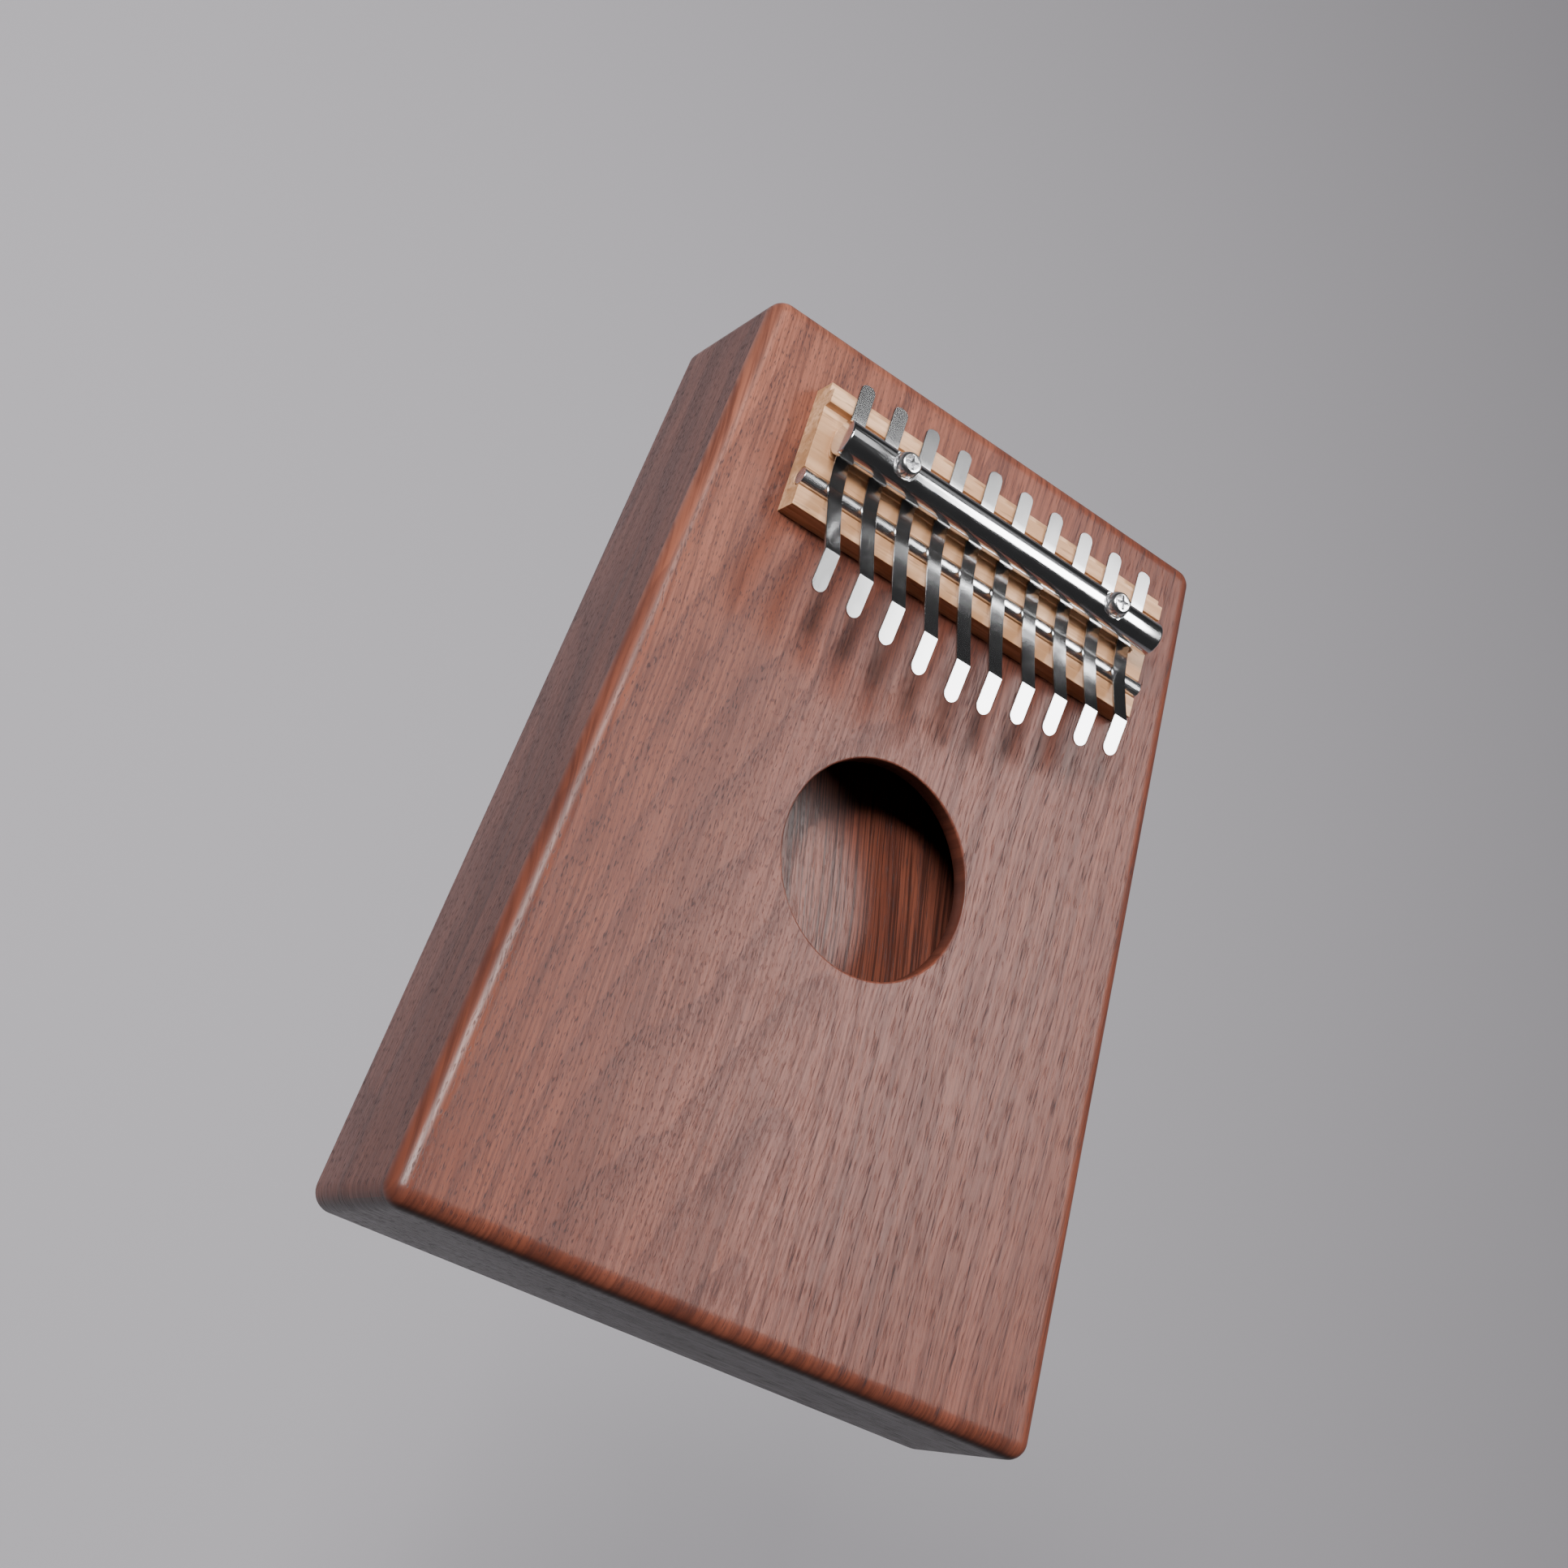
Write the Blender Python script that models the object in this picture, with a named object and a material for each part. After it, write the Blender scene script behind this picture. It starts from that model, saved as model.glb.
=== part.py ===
"""Ten-key box mbira: hollow walnut box, maple bridge board and steel tines under a clamp bar.

The box lies on its back.  +X runs across the keys, +Y runs from the players' end (tail) towards
the head, +Z points out of the soundboard.  The origin is the centre of the back's lower face.
Sizes are in millimetres and become metres in solid().
"""
import math

import bmesh
import bpy
from mathutils import Matrix, Vector

MM = 0.001
GAP = 0.3

# Box: a wedge in plan, wider at the tail.
BODY_LENGTH = 149.8
TAIL_WIDTH = 109.9
HEAD_WIDTH = 90.1
BODY_DEPTH = 26.5
PANEL = 3.0
BACK = 12.5
BACK_EDGE_R = 1.2
WALL = 6.0
EDGE_R = 2.8
CORNER_R = 3.0
HOLE_X = 0.3
HOLE_Y = -2.6
HOLE_R = 16.8

# Bridge board: one routed block, described from the soundboard's face upwards.
BRIDGE_X = 0.82
BRIDGE_HALF = 34.9
BRIDGE_TAIL_Y = 40.95
BRIDGE_HEAD_Y = 63.05
LAND_Z = 3.9
RIDGE_TAIL_Y = 58.9
RIDGE_HEAD_Y = 61.4
RIDGE_Z = 5.2
BED_TAIL_Y = 51.1
BED_HEAD_Y = 56.2
BED_HALF = 32.0
BED_Z = 4.15
BRACE_HALF = 38.0
BRACE_DEPTH = 6.0

# Front rod and its half-round groove.
ROD_Y = 46.05
ROD_Z = 3.76
ROD_R = 1.3
GROOVE_R = 1.6

# Clamp bar and its two screws.
BAR_Y = 53.2
BAR_Z = 7.82
BAR_R = 2.75
BAR_HALF = 32.4
SEAT_Z = 10.05
SEAT_R = 2.35
SCREW_X = 21.93
SHANK_R = 0.9
HEAD_R = 2.05
HEAD_TOP_Z = 12.25
RECESS_DEPTH = 0.9

# Tines: flat strip, cranked under the bar, rising over the rod, with a flat thumb tip.
TINE_COUNT = 10
TINE_PITCH = 6.55
TINE_WIDTH = 2.7
TINE_T = 0.4
TINE_REAR_Y = 64.9
TINE_REAR_Z = 5.88
TINE_CLAMP_Z = 4.82
TINE_BEND_Y = 50.8
ROD_TOP_TINE_Z = 5.72
TIP_LENGTH = 6.45
TIP_SLOPE = 0.17
TONGUE_BOW = 0.14
REAR_CORNER_R = 1.1
# Where each tine's thumb bend lies, and how high; the longest tines are the lowest notes.
TIP_BEND_Y = (33.4, 32.6, 31.6, 29.9, 28.6, 30.1, 31.9, 33.4, 35.1, 36.9)
TIP_BEND_Z = (10.9, 11.05, 10.95, 11.4, 11.8, 11.05, 10.7, 10.4, 9.8, 9.1)
TUNE_TRAVEL = 0.5
HINGE_GAP = 0.3


def material(name, colour, roughness, metallic=0.0):
    """A Principled BSDF material with one colour."""
    mat = bpy.data.materials.new(name)
    mat.use_nodes = True
    shader = mat.node_tree.nodes["Principled BSDF"]
    shader.inputs["Base Color"].default_value = (*colour, 1.0)
    shader.inputs["Roughness"].default_value = roughness
    shader.inputs["Metallic"].default_value = metallic
    mat.diffuse_color = (*colour, 1.0)
    return mat


def walnut(name):
    return material(name, (0.28, 0.125, 0.085), 0.42)


def maple(name):
    return material(name, (0.56, 0.34, 0.19), 0.5)


def steel(name):
    return material(name, (0.78, 0.78, 0.80), 0.2, 1.0)


def chrome(name):
    return material(name, (0.82, 0.82, 0.84), 0.08, 1.0)


def rounded_polygon(points, radii, steps=6):
    """A closed outline whose corners are arcs; a radius of 0 keeps the corner sharp."""
    outline = []
    count = len(points)
    for index, point in enumerate(points):
        corner = Vector(point)
        radius = radii[index]
        if radius <= 0:
            outline.append((corner.x, corner.y))
            continue
        back = (Vector(points[index - 1]) - corner).normalized()
        ahead = (Vector(points[(index + 1) % count]) - corner).normalized()
        half = back.angle(ahead) / 2
        centre = corner + (back + ahead).normalized() * (radius / math.sin(half))
        first = corner + back * (radius / math.tan(half)) - centre
        last = corner + ahead * (radius / math.tan(half)) - centre
        sweep = first.angle_signed(last)
        for step in range(steps + 1):
            turn = Matrix.Rotation(-sweep * step / steps, 2)
            spot = centre + turn @ first
            outline.append((spot.x, spot.y))
    return outline


def solid(name, rings, mat, origin=(0, 0, 0), smooth=None):
    """A closed body through rings of points in millimetres, capped at both ends."""
    mesh = bpy.data.meshes.new(name)
    shape = bmesh.new()
    base = Vector(origin)
    loops = []
    for ring in rings:
        loops.append([shape.verts.new((Vector(point) - base) * MM) for point in ring])
    size = len(loops[0])
    for low, high in zip(loops, loops[1:]):
        for k in range(size):
            nxt = (k + 1) % size
            shape.faces.new((low[k], low[nxt], high[nxt], high[k]))
    shape.faces.new(reversed(loops[0]))
    shape.faces.new(loops[-1])
    bmesh.ops.recalc_face_normals(shape, faces=shape.faces)
    shape.to_mesh(mesh)
    shape.free()
    if smooth is not None:
        mesh.shade_smooth()
        mesh.set_sharp_from_angle(angle=math.radians(smooth))
    mesh.materials.append(mat)
    obj = bpy.data.objects.new(name, mesh)
    obj.location = base * MM
    bpy.context.collection.objects.link(obj)
    return obj


def hide(obj):
    """Keep a cutting or joining body out of the model."""
    obj.hide_render = True
    obj.display_type = "WIRE"
    return obj


def boolean(obj, other, operation="DIFFERENCE"):
    mod = obj.modifiers.new(operation.lower(), "BOOLEAN")
    mod.object = other
    mod.operation = operation
    mod.solver = "EXACT"


def half_width(y):
    """Half the box's width at a distance y along it."""
    share = y / BODY_LENGTH + 0.5
    return (TAIL_WIDTH + (HEAD_WIDTH - TAIL_WIDTH) * share) / 2


def box_outline(inset):
    """The box's plan, drawn in by inset, with its rounded corners."""
    end = BODY_LENGTH / 2 - inset
    tail = half_width(-end) - inset
    head = half_width(end) - inset
    radius = max(CORNER_R - inset, 0.3)
    return rounded_polygon(
        [(-tail, -end), (tail, -end), (head, end), (-head, end)], [radius] * 4
    )


def plate(name, face_z, inner_z, edge):
    """A box face whose outer edge is rounded over."""
    out = 1 if face_z > inner_z else -1
    rings = [[(x, y, inner_z) for x, y in box_outline(0)]]
    steps = 4
    for step in range(steps + 1):
        angle = math.pi / 2 * step / steps
        inset = edge * (1 - math.cos(angle))
        z = face_z - out * edge * (1 - math.sin(angle))
        rings.append([(x, y, z) for x, y in box_outline(inset)])
    return solid(name, rings, walnut(name + "_wood"), smooth=30)


def prism(name, outline, low_z, high_z, mat):
    """An outline in plan, raised from low_z to high_z."""
    rings = [[(x, y, z) for x, y in outline] for z in (low_z, high_z)]
    return solid(name, rings, mat, smooth=30)


def circle(radius, steps=32):
    turns = (2 * math.pi * step / steps for step in range(steps))
    return [(radius * math.cos(turn), radius * math.sin(turn)) for turn in turns]


def turned(name, profile, centre, mat, steps=32):
    """A round body about a vertical axis, from (radius, z) pairs."""
    cx, cy = centre
    rings = []
    for radius, z in profile:
        rings.append([(cx + x, cy + y, z) for x, y in circle(radius, steps)])
    return solid(name, rings, mat, origin=(cx, cy, 0), smooth=35)


def crosswise_rod(name, y, z, radius, half, bevel, mat, steps=32):
    """A round rod along X with bevelled ends."""
    rings = []
    for x, inset in ((-half, bevel), (-half + bevel, 0), (half - bevel, 0), (half, bevel)):
        ring = [(BRIDGE_X + x, y + a, z + b) for a, b in circle(radius - inset, steps)]
        rings.append(ring)
    return solid(name, rings, mat, origin=(BRIDGE_X, y, z), smooth=40)


def above(z):
    """Height over the back, for a height over the soundboard's face."""
    return BODY_DEPTH + z


def rail_plans():
    """Plans of the four rails, tail first, mitred at the middle of each rounded corner."""
    end = BODY_LENGTH / 2
    inner = end - WALL
    tail, head = half_width(-end), half_width(end)
    tail_in, head_in = half_width(-inner) - WALL, half_width(inner) - WALL
    outer = [(-tail, -end), (tail, -end), (head, end), (-head, end)]
    inside = [(-tail_in, -inner), (tail_in, -inner), (head_in, inner), (-head_in, inner)]
    arcs = rounded_polygon(outer, [CORNER_R] * 4, steps=6)
    plans = []
    for index in range(4):
        following = (index + 1) % 4
        near = [*arcs[7 * index + 3 : 7 * index + 7]]
        far = [*arcs[7 * following : 7 * following + 4]]
        start, stop = Vector(inside[index]), Vector(inside[following])
        # The long rails stop short of the mitre, which leaves the gap.
        back = (stop - start).normalized() * (GAP * math.sqrt(2) if index % 2 else 0.0)
        near = [Vector(point) + back for point in near]
        far = [Vector(point) - back for point in far]
        plan = [*near, *far, stop - back, start + back]
        plans.append([(point.x, point.y) for point in plan])
    return plans


def make_box():
    """Soundboard, back and the four rails between them."""
    low = BACK + GAP
    high = BODY_DEPTH - PANEL - GAP
    soundboard = plate("soundboard", BODY_DEPTH, BODY_DEPTH - PANEL, EDGE_R)
    plate("back_board", 0.0, BACK, BACK_EDGE_R)

    for name, plan in zip(("tail_rail", "right_rail", "head_rail", "left_rail"), rail_plans()):
        prism(name, plan, low, high, walnut(name + "_wood"))

    hole = turned("hole_cutter", ((HOLE_R, 10), (HOLE_R, 40)), (HOLE_X, HOLE_Y), None, 64)
    boolean(soundboard, hide(hole))
    return soundboard


def bridge_profile():
    """Section of the bridge board in Y and Z, head end first, over the soundboard's face."""
    groove = []
    steps = 12
    for step in range(steps + 1):
        turn = math.pi * step / steps
        groove.append((ROD_Y + GROOVE_R * math.cos(turn), ROD_Z - GROOVE_R * math.sin(turn)))
    return [
        (BRIDGE_TAIL_Y, GAP),
        (BRIDGE_HEAD_Y, GAP),
        (BRIDGE_HEAD_Y, LAND_Z),
        (RIDGE_HEAD_Y + 0.15, LAND_Z),
        (RIDGE_HEAD_Y, RIDGE_Z),
        (RIDGE_TAIL_Y, RIDGE_Z),
        (RIDGE_TAIL_Y - 0.15, LAND_Z),
        (ROD_Y + GROOVE_R, LAND_Z),
        *groove,
        (ROD_Y - GROOVE_R, LAND_Z),
        (BRIDGE_TAIL_Y, LAND_Z),
    ]


def make_bridge():
    """Bridge board with its ridge, groove and clamp bed, and the brace under the soundboard."""
    profile = bridge_profile()
    rings = []
    for x in (BRIDGE_X - BRIDGE_HALF, BRIDGE_X + BRIDGE_HALF):
        rings.append([(x, y, above(z)) for y, z in profile])
    board = solid("bridge_board", rings, maple("bridge_maple"), smooth=30)
    bed_plan = [
        (BRIDGE_X - BED_HALF, BED_TAIL_Y),
        (BRIDGE_X + BED_HALF, BED_TAIL_Y),
        (BRIDGE_X + BED_HALF, BED_HEAD_Y),
        (BRIDGE_X - BED_HALF, BED_HEAD_Y),
    ]
    bed_plan = rounded_polygon(bed_plan, [0.8] * 4, 4)
    bed = prism("bed_block", bed_plan, above(1.0), above(BED_Z), None)
    boolean(board, hide(bed), "UNION")

    brace_plan = [
        (BRIDGE_X - BRACE_HALF, BRIDGE_TAIL_Y + 4),
        (BRIDGE_X + BRACE_HALF, BRIDGE_TAIL_Y + 4),
        (BRIDGE_X + BRACE_HALF, BRIDGE_HEAD_Y - 2),
        (BRIDGE_X - BRACE_HALF, BRIDGE_HEAD_Y - 2),
    ]
    top = BODY_DEPTH - PANEL - GAP
    brace = prism("bridge_brace", brace_plan, top - BRACE_DEPTH, top, maple("brace_maple"))
    return board, brace


def joined(name, objects):
    """One hidden body made of several separate ones."""
    shape = bmesh.new()
    for obj in objects:
        part = obj.data.copy()
        part.transform(Matrix.Translation(obj.location))
        shape.from_mesh(part)
        bpy.data.objects.remove(obj)
        bpy.data.meshes.remove(part)
    mesh = bpy.data.meshes.new(name)
    shape.to_mesh(mesh)
    shape.free()
    whole = bpy.data.objects.new(name, mesh)
    bpy.context.collection.objects.link(whole)
    return hide(whole)


def make_clamp(drilled):
    """Front rod, clamp bar and the two screws that pull the bar down."""
    steel_rod = chrome("front_rod_chrome")
    crosswise_rod("front_rod", ROD_Y, above(ROD_Z), ROD_R, BRIDGE_HALF, 0.2, steel_rod)
    bar = crosswise_rod(
        "clamp_bar", BAR_Y, above(BAR_Z), BAR_R, BAR_HALF, 0.35, chrome("clamp_bar_chrome")
    )
    holes, seats, crosses = [], [], []
    for side, name in ((-1, "clamp_screw_left"), (1, "clamp_screw_right")):
        x = BRIDGE_X + side * SCREW_X
        spot = (x, BAR_Y)
        holes.append(turned("hole", ((SHANK_R + GAP, -15), (SHANK_R + GAP, 60)), spot, None, 16))
        seats.append(turned("seat", ((SEAT_R, above(SEAT_Z)), (SEAT_R, 60)), spot, None))
        crosses.append(cross_block(x))
    clearance = joined("screw_clearance", holes)
    seat_cut = joined("seat_clearance", seats)
    cross_cut = joined("cross_recess", crosses)
    for obj in (*drilled, bar):
        boolean(obj, clearance)
    boolean(bar, seat_cut)
    for side, name in ((-1, "clamp_screw_left"), (1, "clamp_screw_right")):
        spot = (BRIDGE_X + side * SCREW_X, BAR_Y)
        top = above(HEAD_TOP_Z)
        underside = above(SEAT_Z) + GAP
        foot = BODY_DEPTH - PANEL - BRACE_DEPTH + 0.5
        profile = (
            (SHANK_R * 0.6, foot),
            (SHANK_R, foot + 0.6),
            (SHANK_R, underside),
            (HEAD_R, underside),
            (HEAD_R, top - 0.9),
            (HEAD_R - 0.15, top - 0.5),
            (HEAD_R - 0.33, top - 0.2),
            (HEAD_R - 0.55, top),
        )
        screw = turned(name, profile, spot, chrome(name + "_chrome"))
        boolean(screw, cross_cut)


def cross_block(x):
    """The driver recess: a plus sign sunk into a screw's head."""
    arm, reach = 0.3, 1.1
    plan = []
    for turn in range(4):
        spin = Matrix.Rotation(math.pi / 2 * turn, 2)
        for corner in ((arm, arm), (arm, reach), (-arm, reach)):
            spot = spin @ Vector(corner)
            plan.append((x + spot.x, BAR_Y + spot.y))
    return prism("cross", plan, above(HEAD_TOP_Z - RECESS_DEPTH), above(20), None)


def half_at(y, rear, tip):
    """Half a tine's width at y: arcs at its rear corners, a half circle at its tip."""
    half = TINE_WIDTH / 2
    if y > rear - REAR_CORNER_R:
        sink = y - (rear - REAR_CORNER_R)
        return half - REAR_CORNER_R + math.sqrt(max(REAR_CORNER_R**2 - sink**2, 0.0))
    if y < tip + half:
        sink = tip + half - y
        return math.sqrt(max(half**2 - sink**2, 0.0))
    return half


def tine_height(y, bend_y, bend_z):
    """Height of a tine's upper face over the soundboard, along its length."""
    if bend_y < y < ROD_Y:
        share = (ROD_Y - y) / (ROD_Y - bend_y)
        share += TONGUE_BOW * share * (share - 1)
        return ROD_TOP_TINE_Z + (bend_z - ROD_TOP_TINE_Z) * share
    course = (
        (bend_y - TIP_LENGTH, bend_z - TIP_LENGTH * TIP_SLOPE),
        (bend_y, bend_z),
        (ROD_Y, ROD_TOP_TINE_Z),
        (TINE_BEND_Y, TINE_CLAMP_Z),
        (BED_HEAD_Y, TINE_CLAMP_Z),
        (RIDGE_TAIL_Y - 0.3, TINE_REAR_Z),
        (TINE_REAR_Y, TINE_REAR_Z),
    )
    for (y0, z0), (y1, z1) in zip(course, course[1:]):
        if y <= y1:
            return z0 + (z1 - z0) * (y - y0) / (y1 - y0)
    return TINE_REAR_Z


def strip(name, x, stations, bend, mat, origin, relief=0.0):
    """A stretch of tine through stations along Y; relief cuts one edge back beside a screw."""
    bend_y, bend_z = bend
    tip = bend_y - TIP_LENGTH
    rings = []
    for y in stations:
        half = half_at(y, TINE_REAR_Y, tip)
        left, right = x - half, x + half
        if relief and abs(y - BAR_Y) < SHANK_R + GAP + TUNE_TRAVEL:
            clear = SHANK_R + GAP
            if relief < x:
                left = max(left, relief + clear)
            else:
                right = min(right, relief - clear)
        z = above(tine_height(y, bend_y, bend_z))
        rings.append([(left, y, z), (right, y, z), (right, y, z - TINE_T), (left, y, z - TINE_T)])
    return solid(name, rings, mat, origin=origin)


def make_tines():
    """Each tine is a clamped root and the free tongue beyond the front rod."""
    half = TINE_WIDTH / 2
    rear = TINE_REAR_Y
    relief_half = SHANK_R + GAP + TUNE_TRAVEL
    for index in range(TINE_COUNT):
        x = BRIDGE_X + (index - (TINE_COUNT - 1) / 2) * TINE_PITCH
        bend = (TIP_BEND_Y[index], TIP_BEND_Z[index])
        tip = bend[0] - TIP_LENGTH
        screw = BRIDGE_X + math.copysign(SCREW_X, x)
        crossed = abs(screw - x) < half + SHANK_R + GAP
        root_stations = [
            ROD_Y + HINGE_GAP / 2,
            TINE_BEND_Y,
            BED_HEAD_Y,
            RIDGE_TAIL_Y - 0.3,
            rear - REAR_CORNER_R,
            rear - REAR_CORNER_R * 0.5,
            rear - REAR_CORNER_R * 0.13,
            rear,
        ]
        if crossed:
            for edge in (-relief_half, relief_half):
                root_stations += [BAR_Y + edge - 0.02, BAR_Y + edge + 0.02]
        root_stations.sort()
        arc = [tip + half * (1 - math.cos(math.radians(a))) for a in (12, 32, 50, 70, 90)]
        reach = ROD_Y - HINGE_GAP / 2 - bend[0]
        tongue_stations = [*arc, *(bend[0] + reach * share for share in (0, 0.35, 0.7, 1))]
        tag = f"tine_{index + 1:02d}"
        metal = steel(tag + "_steel")
        clamp_spot = (x, BAR_Y, above(TINE_CLAMP_Z))
        hinge_spot = (x, ROD_Y, above(ROD_TOP_TINE_Z - TINE_T / 2))
        relief = screw if crossed else 0.0
        strip(tag + "_root", x, root_stations, bend, metal, clamp_spot, relief)
        strip(tag + "_tongue", x, tongue_stations, bend, metal, hinge_spot)


def main():
    for obj in list(bpy.data.objects):
        bpy.data.objects.remove(obj)
    soundboard = make_box()
    board, brace = make_bridge()
    make_clamp((soundboard, board, brace))
    make_tines()


main()
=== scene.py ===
import math

import bmesh
import bpy
from mathutils import Matrix, Vector


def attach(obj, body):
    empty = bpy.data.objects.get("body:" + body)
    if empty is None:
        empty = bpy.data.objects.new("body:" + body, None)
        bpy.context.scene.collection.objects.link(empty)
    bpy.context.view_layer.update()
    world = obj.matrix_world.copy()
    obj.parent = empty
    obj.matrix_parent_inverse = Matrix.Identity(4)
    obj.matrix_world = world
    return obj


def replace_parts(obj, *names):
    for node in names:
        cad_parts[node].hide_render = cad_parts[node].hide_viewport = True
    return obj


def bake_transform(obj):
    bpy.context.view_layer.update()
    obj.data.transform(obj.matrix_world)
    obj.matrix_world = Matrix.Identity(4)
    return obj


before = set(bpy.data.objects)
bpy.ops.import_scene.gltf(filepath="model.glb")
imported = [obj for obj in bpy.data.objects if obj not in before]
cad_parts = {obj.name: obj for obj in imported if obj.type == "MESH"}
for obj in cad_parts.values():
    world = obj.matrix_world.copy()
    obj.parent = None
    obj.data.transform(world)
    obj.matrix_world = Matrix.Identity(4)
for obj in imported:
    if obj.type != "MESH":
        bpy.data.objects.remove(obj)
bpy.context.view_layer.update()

# Sizes are millimetres in the CAD frame; tube() turns them into metres.
MM = 0.001
BOX = "resonator"

BODY_LENGTH = 149.8
TAIL_WIDTH = 109.9
HEAD_WIDTH = 90.1
TOP = 26.5
PANEL = 3.0
WALL = 6.0
BACK = 12.5
BACK_EDGE_R = 1.2
EDGE_R = 2.8
CORNER_R = 3.0
HOLE_X = 0.3
HOLE_Y = -2.6
HOLE_R = 16.8
HOLE_CHAMFER = 0.35

BRIDGE_X = 0.82
BRIDGE_HALF = 34.9
BRIDGE_TAIL_Y = 40.95
BRIDGE_HEAD_Y = 63.05
LAND_Z = TOP + 4.05
RIDGE_TAIL_Y = 58.9
RIDGE_HEAD_Y = 61.4
RIDGE_Z = TOP + 5.43
BED_TAIL_Y = 51.1
BED_HEAD_Y = 56.2
BED_HALF = 32.0
BED_Z = TOP + 4.42

ROD_Y = 46.05
ROD_Z = TOP + 3.7
ROD_R = 1.4
GROOVE_R = 1.6

BAR_Y = 53.2
BAR_Z = TOP + 7.8
BAR_R = 2.92
BAR_HALF = 32.35
SEAT_Z = TOP + 10.05
SEAT_R = 2.35
SCREW_X = 21.93
SCREW_TOP = TOP + 12.25

TINE_COUNT = 10
TINE_PITCH = 6.55
TINE_WIDTH = 2.7
TINE_T = 0.45
TINE_REAR_Y = 64.9
TINE_REAR_Z = TOP + 5.88
TINE_CLAMP_Z = TOP + 4.88
REAR_CORNER_R = 1.1
TIP_LENGTH = 6.45
TIP_SLOPE = 0.17
# Where each tine bends to its tip: Y, and height above the soundboard.
TIP_BEND_Y = (33.4, 32.6, 31.6, 29.9, 28.6, 30.1, 31.9, 33.4, 35.1, 36.9)
TIP_BEND_Z = (10.9, 11.05, 10.95, 11.4, 11.8, 11.05, 10.7, 10.4, 9.8, 9.1)
# Height of a tine's face above the soundboard over the rod, and its sag beyond it.
TINE_ROD_Z = 5.72
TINE_SAG = 0.16
TINE_BEVEL = 0.07

# Mesh steps round a plan corner, along each side of the plan and round an edge.
ARC_STEPS = 10
SIDE_STEPS = (30, 60, 26, 60)
ROUND_STEPS = 8

FLOOR_Z = -600
FLOOR_R = 9000
# The spot that every light faces, in metres.
AIM = Vector((0, 0.05, 0.035))


# ---------------------------------------------------------------- materials


class Nodes:
    """A short way to write a node tree."""

    def __init__(self, name):
        self.material = bpy.data.materials.new(name)
        self.material.use_nodes = True
        self.tree = self.material.node_tree
        self.shader = self.tree.nodes["Principled BSDF"]

    def add(self, kind, **settings):
        node = self.tree.nodes.new(kind)
        for key, value in settings.items():
            setattr(node, key, value)
        return node

    def feed(self, socket, value):
        if isinstance(value, bpy.types.NodeSocket):
            self.tree.links.new(value, socket)
        else:
            socket.default_value = value

    def math(self, operation, a, b=0.0, c=0.0, clamp=False):
        node = self.add("ShaderNodeMath", operation=operation, use_clamp=clamp)
        for socket, value in zip(node.inputs, (a, b, c)):
            self.feed(socket, value)
        return node.outputs[0]

    def mapped(self, vector, scale, offset=(0, 0, 0), turn=0.0):
        """A vector scaled to a pattern's own size, moved, and turned about Z."""
        mapping = self.add("ShaderNodeMapping", vector_type="POINT")
        self.feed(mapping.inputs["Vector"], vector)
        mapping.inputs["Scale"].default_value = scale
        mapping.inputs["Location"].default_value = offset
        mapping.inputs["Rotation"].default_value = (0, 0, turn)
        return mapping.outputs[0]

    def coordinates(self, kind="Object"):
        return self.add("ShaderNodeTexCoord").outputs[kind]

    def split(self, vector):
        node = self.add("ShaderNodeSeparateXYZ")
        self.feed(node.inputs[0], vector)
        return node.outputs

    def noise(self, vector, detail=2.0, rough=0.5):
        node = self.add("ShaderNodeTexNoise")
        self.feed(node.inputs["Vector"], vector)
        node.inputs["Scale"].default_value = 1.0
        node.inputs["Detail"].default_value = detail
        node.inputs["Roughness"].default_value = rough
        return node.outputs["Fac"]

    def remap(self, value, low, high, to_low=0.0, to_high=1.0):
        """A smooth step from one range of values to another."""
        node = self.add("ShaderNodeMapRange", interpolation_type="SMOOTHSTEP")
        self.feed(node.inputs["Value"], value)
        node.inputs["From Min"].default_value = low
        node.inputs["From Max"].default_value = high
        node.inputs["To Min"].default_value = to_low
        node.inputs["To Max"].default_value = to_high
        return node.outputs["Result"]

    def mix(self, share, a, b):
        node = self.add("ShaderNodeMix", data_type="RGBA")
        self.feed(node.inputs["Factor"], share)
        self.feed(node.inputs["A"], a)
        self.feed(node.inputs["B"], b)
        return node.outputs["Result"]

    def bump(self, height, distance, strength=1.0):
        node = self.add("ShaderNodeBump")
        node.inputs["Distance"].default_value = distance
        node.inputs["Strength"].default_value = strength
        self.feed(node.inputs["Height"], height)
        self.feed(self.shader.inputs["Normal"], node.outputs[0])


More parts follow.
